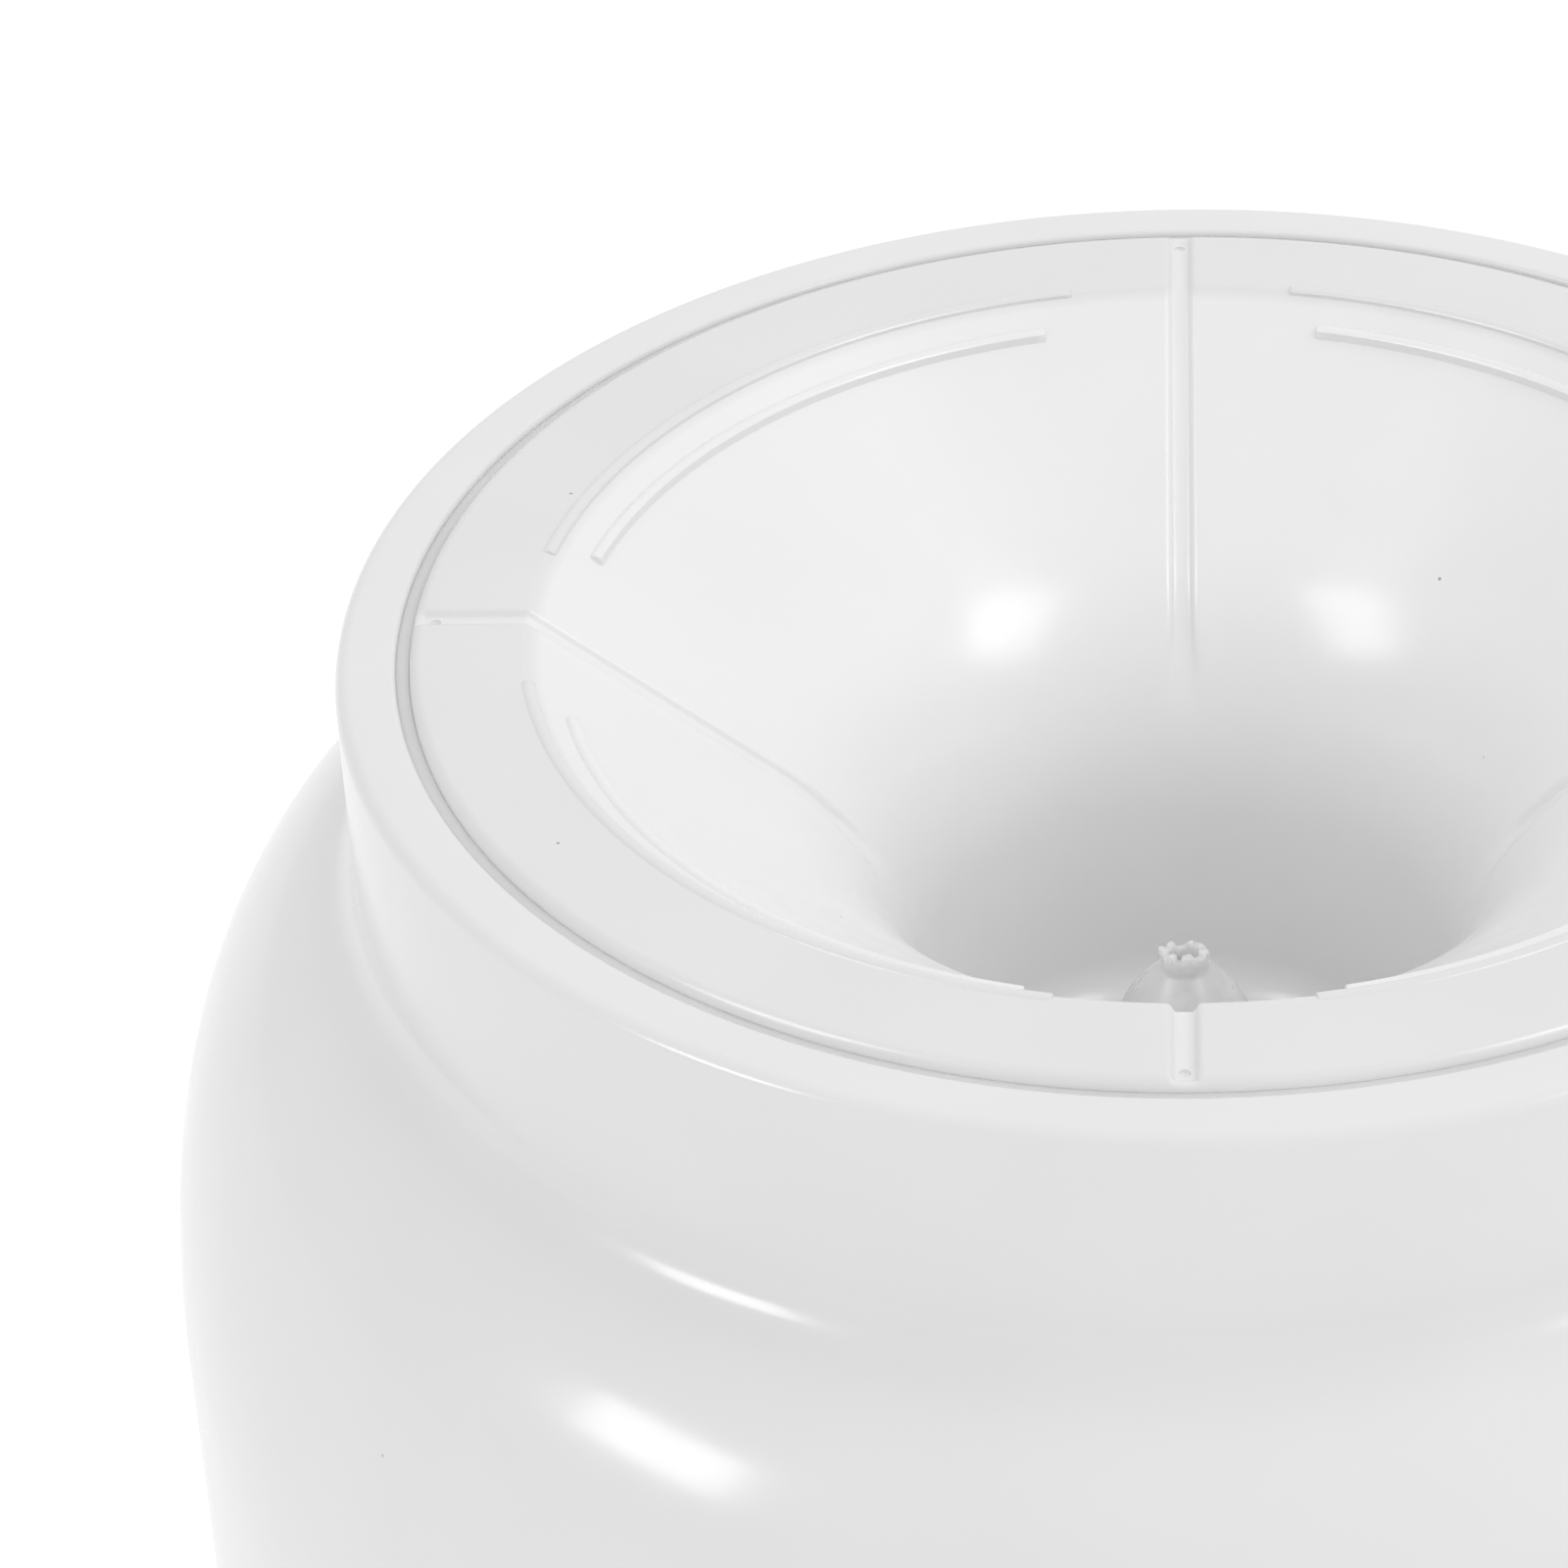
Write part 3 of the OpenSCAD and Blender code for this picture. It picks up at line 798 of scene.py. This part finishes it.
for direction in (30, 150, 270):
    across = Matrix.Rotation(math.radians(direction), 3, "Z") @ Vector((1, 0, 0))
    bit = turn("bit", bar(SIDE_HOLE, CROWN, BIT_REACH), 32,
               foot=(0, 0, shelf + SIDE_HOLE_UP), axis=across, across=(0, 0, 1))
    boolean(spike, bit, "DIFFERENCE")
smooth(spike, 50)
place(spike, "bowl", "spike_plastic", natural, "feed_spike")

# %% [markdown]
# ## Washers and nuts
#
# Flat washers are rings with slightly rounded edges. A nut is cut from a hexagonal bar whose
# corners are turned off at both ends, which is done here by keeping what a six-sided prism and a
# turned, chamfered disc have in common.

# %% Washer and nut makers
def washer(name, outer, inner, low, high, steps=96, **stand):
    """A ring with its edges slightly rounded."""
    soft = min(0.3 * MM, (high - low) / 3)
    section = (
        arc(outer - soft, low + soft, soft, -90, 0, 3) + arc(outer - soft, high - soft, soft, 0, 90, 3)
        + [(inner, high), (inner, low)]
    )
    return smooth(turn(name, section, steps, closed=True, **stand))


def nut(name, across_corners, bore, low, high, **stand):
    """A hexagonal nut with turned corners."""
    inside_flat = across_corners * math.cos(math.pi / 6)
    chamfer = (across_corners - inside_flat) * 0.6
    piece = turn(name, bar(across_corners, low, high), 6, **stand)
    blank = [(0, low), (inside_flat, low), (across_corners, low + chamfer),
             (across_corners, high - chamfer), (inside_flat, high), (0, high)]
    boolean(piece, turn("blank", blank, 96, **stand), "INTERSECT")
    lead_in = 0.8 * MM
    wide = bore + lead_in
    drill = [(0, low - MM), (wide, low - MM), (wide, low), (bore, low + lead_in),
             (bore, high - lead_in), (wide, high), (wide, high + MM), (0, high + MM)]
    boolean(piece, turn("drill", drill, 64, **stand), "DIFFERENCE")
    soften(piece, 0.35 * MM, 35)
    return smooth(piece, 40)


# %% The spike's washer and nut
spike_seal = washer("spike_seal", SPIKE_FLANGE, TAIL, well_floor, base)
place(spike_seal, "bowl", "clear_silicone", silicone, "spike_washer")
nut_low, nut_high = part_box("spike_nut")
spike_nut = nut("spike_locknut", nut_high.x, TAIL, nut_low.z, nut_high.z)
place(spike_nut, "bowl", "bowl_plastic", moulding, "spike_nut")

# %% [markdown]
# ## The tap
#
# The tap's body is several turned forms that run into one another: a threaded shank and a flange
# on the line that points to the front, and a chamber and a spout on an upright line. They are
# joined and bored. The screw cap above has grip ribs, pressed into the columns of its mesh in the
# same way as the bowl's channels.

# %% The tap's body
VALVE_Y = -0.1825
SHANK, COLLAR, PASSAGE = 8 * MM, 8.5 * MM, 5 * MM
SHANK_END, THREAD_END = 118 * MM, 146 * MM
FLANGE_BACK, TAP_FLANGE, TAP_FLANGE_HIGH = BOSS_FACE + 2 * MM, 17 * MM, 4 * MM
CHAMBER, CHAMBER_IN = 13 * MM, 10 * MM
CHAMBER_LOW, CHAMBER_TOP, SEAT = TAP_HIGH - 14 * MM, TAP_HIGH + 14 * MM, TAP_HIGH - 12 * MM
SPOUT, SPOUT_HOLE, SPOUT_END = 8 * MM, 5.5 * MM, TAP_HIGH - 34 * MM
CHAMBER_BIT, SPOUT_BIT, PASSAGE_BIT = 0.08, 0.02, 0.11
valve_foot = {"foot": (0, VALVE_Y, 0)}

front_run = (
    [(0, SHANK_END)]
    + thread(SHANK, SHANK_END, THREAD_END, pitch=1.75 * MM)
    + [(SHANK, 147 * MM), (SHANK, FLANGE_BACK)]
    + arc(TAP_FLANGE - 0.6 * MM, FLANGE_BACK + 0.6 * MM, 0.6 * MM, -90, 0, 3)
    + arc(TAP_FLANGE - 1.4 * MM, FLANGE_BACK + TAP_FLANGE_HIGH - 1.4 * MM, 1.4 * MM, 0, 90, 5)
    + arc(COLLAR + 2 * MM, FLANGE_BACK + TAP_FLANGE_HIGH + 2 * MM, 2 * MM, -90, -180, 5)
    + [(COLLAR, -VALVE_Y), (0, -VALVE_Y)]
)
upright = (
    [(0, SPOUT_END)]
    + arc(SPOUT - 0.8 * MM, SPOUT_END + 0.8 * MM, 0.8 * MM, -90, 0, 4)
    + arc(SPOUT + 1.5 * MM, CHAMBER_LOW - 1.5 * MM, 1.5 * MM, 180, 90, 4)
    + arc(CHAMBER - 1.6 * MM, CHAMBER_LOW + 1.6 * MM, 1.6 * MM, -90, 0, 5)
    + [(CHAMBER, CHAMBER_TOP - 0.4 * MM), (CHAMBER - 0.4 * MM, CHAMBER_TOP), (0, CHAMBER_TOP)]
)
tap = turn("tap_housing", front_run, 96, **tap_foot)
boolean(tap, turn("upright", upright, 96, **valve_foot), "UNION")
bores = [
    turn("bore", bar(CHAMBER_IN, SEAT, CHAMBER_BIT), 96, **valve_foot),
    turn("bore", bar(SPOUT_HOLE, SPOUT_BIT, SEAT + MM), 64, **valve_foot),
    turn("bore", bar(PASSAGE, PASSAGE_BIT, -VALVE_Y), 64, **tap_foot),
]
for bore in bores:
    boolean(tap, bore, "DIFFERENCE")
smooth(tap, 35)
place(tap, "crock", "tap_plastic", tap_white, "tap_body")

# %% The tap's washers and nut
front_seal = washer("tap_front_seal", TAP_FLANGE - MM, SHANK, BOSS_FACE, FLANGE_BACK, **tap_foot)
place(front_seal, "crock", "clear_silicone", silicone, "tap_front_washer")
inner_seal = washer("tap_inner_seal", 14 * MM, SHANK, BOSS_INNER - 2 * MM, BOSS_INNER, **tap_foot)
place(inner_seal, "crock", "clear_silicone", silicone, "tap_inner_washer")
backnut = nut("tap_backnut", 16 * MM, SHANK, BOSS_INNER - 11 * MM, BOSS_INNER - 2 * MM, **tap_foot)
place(backnut, "crock", "tap_plastic", tap_white, "tap_nut")

# %% The screw cap and its seal
cap_low, cap_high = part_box("tap_bonnet")
CAP, CAP_ROOF, STEM = 15.5 * MM, 4 * MM, 3 * MM
CAP_STEPS, GRIPS = 192, 24
GROOVE = {3: 0.55, 4: 0.75, 5: 0.55}
grip_low, grip_high = cap_low.z + 1.2 * MM, cap_high.z - 2.4 * MM
cap_section = (
    [(CHAMBER, cap_low.z), (CAP - 0.5 * MM, cap_low.z), (CAP, cap_low.z + 0.5 * MM), (CAP, grip_low)]
    + [(CAP, grip_low + 0.4 * MM), (CAP, grip_high - 0.4 * MM), (CAP, grip_high)]
    + arc(CAP - 1.6 * MM, cap_high.z - 1.6 * MM, 1.6 * MM, 0, 90, 5)
    + [(STEM + 0.6 * MM, cap_high.z), (STEM + 0.05 * MM, cap_high.z - 0.5 * MM)]
    + [(STEM + 0.05 * MM, cap_high.z - CAP_ROOF), (CHAMBER, cap_high.z - CAP_ROOF)]
)
cap = turn("tap_screw_cap", cap_section, CAP_STEPS, closed=True, **valve_foot)
per_grip = CAP_STEPS // GRIPS
for vertex in cap.data.vertices:
    x, y, z = vertex.co.x, vertex.co.y - VALVE_Y, vertex.co.z
    radius = math.hypot(x, y)
    column = round(math.degrees(math.atan2(y, x)) * CAP_STEPS / 360) % per_grip
    between = grip_low + 0.2 * MM < z < grip_high - 0.2 * MM
    if between and radius > CAP - 0.1 * MM and column in GROOVE:
        inward = 1 - GROOVE[column] * MM / radius
        vertex.co.x, vertex.co.y = x * inward, VALVE_Y + y * inward
smooth(cap, 35)
place(cap, "crock", "tap_plastic", tap_white, "tap_bonnet")
cap_seal = washer("tap_cap_seal", CHAMBER - 0.3 * MM, CHAMBER_IN + 0.3 * MM, CHAMBER_TOP,
                  cap_high.z - CAP_ROOF, **valve_foot)
place(cap_seal, "crock", "clear_silicone", silicone, "tap_bonnet_ring")

# %% [markdown]
# ## Stem, cup, spring, lever and pin
#
# The stem is a rod with a flattened eye. The soft cup at its foot closes the spout, and a coil
# spring pushes it down. The lever's two round cheeks stand on the screw cap, off the pin's
# centre, so that pressing the paddle lifts the stem.

# %% Stem and cup
PIN_Z = cap_high.z + 10 * MM
PIN = 1.5 * MM
HEAD, EYE = 5 * MM, 4 * MM
side_on = {"foot": (0, VALVE_Y, PIN_Z), "axis": (1, 0, 0), "across": (0, 1, 0)}
ROD_FOOT = SEAT + 3 * MM
stem = turn("tap_lift_rod", bar(STEM, ROD_FOOT, PIN_Z), 64, **valve_foot)
eye = turn("eye", bar(EYE, -HEAD / 2, HEAD / 2), 64, **side_on)
boolean(stem, eye, "UNION")


def block(name, low, high):
    """A box between two corners, to cut or to build with."""
    leave_edit_mode()
    bpy.ops.mesh.primitive_cube_add(size=1, location=(0, 0, 0))
    piece = bpy.context.object
    piece.name = piece.data.name = name
    low, high = Vector(low), Vector(high)
    scale = Matrix.Diagonal((*(high - low), 1))
    piece.data.transform(Matrix.Translation((low + high) / 2) @ scale)
    return piece


FLAT, FLAT_REACH = 13.6 * MM, 6 * MM
for side in (-1, 1):
    near_x, far_x = sorted((side * HEAD / 2, side * (HEAD / 2 + STEM)))
    shaving = block("shaving", (near_x, VALVE_Y - FLAT_REACH, PIN_Z - FLAT),
                    (far_x, VALVE_Y + FLAT_REACH, PIN_Z + FLAT_REACH))
    boolean(stem, shaving, "DIFFERENCE")
eye_hole = PIN + 0.06 * MM
bit = turn("bit", bar(eye_hole, -HEAD, HEAD), 48, **side_on)
boolean(stem, bit, "DIFFERENCE")
soften(stem, 0.3 * MM)
smooth(stem, 40)
place(stem, "valve", "tap_plastic", tap_white, "tap_stem")

CUP, CUP_HIGH = 8.5 * MM, 8 * MM
cup_section = (
    [(0, SEAT + 0.2 * MM), (SPOUT_HOLE - 0.5 * MM, SEAT + 0.2 * MM), (SPOUT_HOLE, SEAT)]
    + [(CUP - 0.5 * MM, SEAT)]
    + arc(CUP - 0.5 * MM, SEAT + 0.5 * MM, 0.5 * MM, -90, 0, 3)
    + [(CUP, ROD_FOOT), (CUP - 1.7 * MM, SEAT + CUP_HIGH - 0.6 * MM)]
    + [(CUP - 2.3 * MM, SEAT + CUP_HIGH), (STEM, SEAT + CUP_HIGH)]
    + [(STEM, ROD_FOOT), (0, ROD_FOOT)]
)
cup = turn("tap_seat_seal", cup_section, 96, **valve_foot)
smooth(cup)
place(cup, "valve", "clear_silicone", silicone, "tap_seat_cup")

# %% Spring
spring_low, spring_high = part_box("tap_spring")
COIL, WIRE, TURNS, COIL_STEPS = 5.6 * MM, 0.6 * MM, 6, 48
spring_foot, spring_head = spring_low.z + WIRE, spring_high.z - WIRE
wire_section = [(r, VALVE_Y, z) for r, z in arc(COIL, spring_foot, WIRE, 0, 360, 12)[:-1]]
spring = draw("tap_coil_spring", wire_section)
close_chain(spring)
bpy.ops.mesh.select_all(action="SELECT")
climb = (spring_head - spring_foot) / TURNS / COIL_STEPS
twist = -2 * math.pi / COIL_STEPS
for _ in range(COIL_STEPS * TURNS):
    bpy.ops.mesh.extrude_edges_move(TRANSFORM_OT_translate={"value": (0, 0, climb)})
    bpy.ops.transform.rotate(value=twist, orient_axis="Z", center_override=(0, VALVE_Y, 0))
mesh = bmesh.from_edit_mesh(spring.data)
mark(spring, mesh, lambda e: len(e.link_faces) < 2, "edges")
bpy.ops.mesh.edge_face_add()
tidy_mesh()
leave_edit_mode()
smooth(spring, 50)
place(spring, "crock", "spring_steel", steel, "tap_spring")
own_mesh(spring)

# %% Pin
half_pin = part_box("tap_lever_pin")[1].x
PIN_ROUND = 0.4 * MM
pin_section = (
    [(0, -half_pin)]
    + arc(PIN - PIN_ROUND, -half_pin + PIN_ROUND, PIN_ROUND, -90, 0, 4)
    + arc(PIN - PIN_ROUND, half_pin - PIN_ROUND, PIN_ROUND, 0, 90, 4)
    + [(0, half_pin)]
)
pin = turn("tap_pivot_pin", pin_section, 48, **side_on)
smooth(pin)
place(pin, "lever", "spring_steel", steel, "tap_lever_pin")

# %% [markdown]
# ### The lever
#
# Two round cheeks stand on the screw cap, and a bridge behind them and the paddle in front join
# them. The paddle begins as a block across the cheeks. Its front face is extruded forward and
# upward in steps that get thinner all the way. They widen into a finger pad and then narrow, so
# that the pad ends round. Each step says how far along, how far up, how wide and how thick.

# %% The lever
lever_low, lever_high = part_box("tap_lever")
CAM_OFF, CAM, CHEEK = 6 * MM, 9.75 * MM, 3.6 * MM
HALF_LEVER = lever_high.x
BLADE_LOW, BLADE_HIGH = PIN_Z + 3 * MM, PIN_Z + 9.7 * MM
BLADE_FRONT = VALVE_Y - 14 * MM
cam_foot = {"foot": (0, VALVE_Y - CAM_OFF, PIN_Z), "axis": (1, 0, 0), "across": (0, 1, 0)}
PAD_TIP, PAD_MIDDLE = lever_low.y, lever_high.z - 2 * MM
root = Vector((0, BLADE_FRONT, (BLADE_LOW + BLADE_HIGH) / 2))
end = Vector((0, PAD_TIP, PAD_MIDDLE))

lever = block("tap_press_lever", (-HALF_LEVER, BLADE_FRONT, BLADE_LOW),
              (HALF_LEVER, BLADE_FRONT + 4 * MM, BLADE_HIGH))
mesh = edit(lever)
mark(lever, mesh, lambda f: f.normal.y < -0.9, "faces")
outline = [(0.35, 0.35, 1.02, 0.86), (0.68, 0.72, 1.10, 0.72), (0.84, 0.93, 1.24, 0.62),
           (0.93, 0.99, 1.04, 0.58), (0.98, 1.0, 0.70, 0.54), (1.0, 1.0, 0.34, 0.46)]
before, width, tall = root, 1.0, 1.0
for forward, upward, wide, thin in outline:
    goal = Vector((0, root.y + (end.y - root.y) * forward, root.z + (end.z - root.z) * upward))
    bpy.ops.mesh.extrude_region_move(TRANSFORM_OT_translate={"value": goal - before})
    bpy.ops.transform.resize(value=(wide / width, 1, thin / tall), center_override=goal)
    before, width, tall = goal, wide, thin
leave_edit_mode()
print("blade in mm:", [tuple(round(c / MM, 1) for c in corner) for corner in lever.bound_box][::6])

# %% Give the lever its cheeks and bridge, then bore it for the pin
for side in (-1, 1):
    low_x, high_x = sorted((side * (HALF_LEVER - CHEEK), side * HALF_LEVER))
    cheek = turn("cheek", bar(CAM, low_x, high_x), 96, **cam_foot)
    boolean(lever, cheek, "UNION")
bridge = block("bridge", (-HALF_LEVER, BLADE_FRONT, PIN_Z - 2 * MM),
               (HALF_LEVER, BLADE_FRONT + 6 * MM, PIN_Z + 8 * MM))
boolean(lever, bridge, "UNION")
PIN_BIT = 0.02
bit = turn("bit", bar(PIN, -PIN_BIT, PIN_BIT), 48, **side_on)
boolean(lever, bit, "DIFFERENCE")
soften(lever, 0.6 * MM, 30, 3)
smooth(lever, 40)
place(lever, "lever", "tap_plastic", tap_white, "tap_lever")

# %% [markdown]
# ## Floor and light
#
# The ware stands on a pale sweep in an even white room, which gives every side nearly the same
# tone. Softboxes to the left and to the right draw the highlights: the upper pair the two oval
# ones in the dish, and the lower pair the long ones on the lip, the fillet and the shoulder. They
# only show in reflections, and flags keep each pair off the other's pieces. A broad light overhead
# and one from the right do the rest.

# %% Floor, room and softboxes
bpy.context.scene.view_settings.view_transform = "Standard"

bpy.ops.mesh.primitive_plane_add(size=8, location=(0, 0, 0))
floor = bpy.context.object
floor.name = "floor"
sweep, _, shader = new_material("pale sweep")
shader.inputs["Base Color"].default_value = (0.5, 0.5, 0.5, 1)
shader.inputs["Roughness"].default_value = 0.9
shader.inputs["Specular IOR Level"].default_value = 0.1
shader.inputs["Emission Color"].default_value = (1, 1, 1, 1)
shader.inputs["Emission Strength"].default_value = 0.56
floor.data.materials.append(sweep)

world = bpy.data.worlds.new("white room")
bpy.context.scene.world = world
world.use_nodes = True
world.node_tree.nodes["Background"].inputs["Color"].default_value = (1, 1, 1, 1)
world.node_tree.nodes["Background"].inputs["Strength"].default_value = 0.84


def softbox(name, azimuth, elevation, distance, width, height, power, glossy=True):
    """A rectangular light that faces the rim and shows in reflections, or else only brightens."""
    a, e = math.radians(azimuth), math.radians(elevation)
    away = Vector((math.sin(a) * math.cos(e), -math.cos(a) * math.cos(e), math.sin(e)))
    data = bpy.data.lights.new(name, "AREA")
    data.shape = "RECTANGLE"
    data.size, data.size_y, data.energy = width, height, power
    lamp = bpy.data.objects.new(name, data)
    bpy.context.scene.collection.objects.link(lamp)
    lamp.location = Vector((0, 0, RIM)) + away * distance
    lamp.rotation_mode = "QUATERNION"
    lamp.rotation_quaternion = (-away).to_track_quat("-Z", "Y")
    lamp.visible_diffuse = not glossy
    lamp.visible_glossy = glossy
    return lamp


def flag(lamp, pieces):
    """Keeps a lamp off everything but these pieces."""
    lit = bpy.data.collections.new(lamp.name + "_lit")
    for piece in pieces:
        lit.objects.link(piece)
    lamp.light_linking.receiver_collection = lit


in_the_mouth = [bowl, spike, gasket, spike_seal]
on_the_outside = [crock, tap, cap, lever, stem]
for side in (-1, 1):
    flag(softbox("upper", azimuth=side * 66, elevation=47, distance=1.6,
                 width=0.50, height=0.62, power=6.0), in_the_mouth)
    flag(softbox("lower", azimuth=side * 57, elevation=20, distance=1.6,
                 width=0.50, height=0.36, power=3.6), on_the_outside)
softbox("overhead", azimuth=0, elevation=72, distance=1.9,
        width=2.0, height=2.0, power=5.8, glossy=False)
softbox("key_right", azimuth=98, elevation=42, distance=1.9,
        width=1.2, height=1.2, power=6.3, glossy=False)
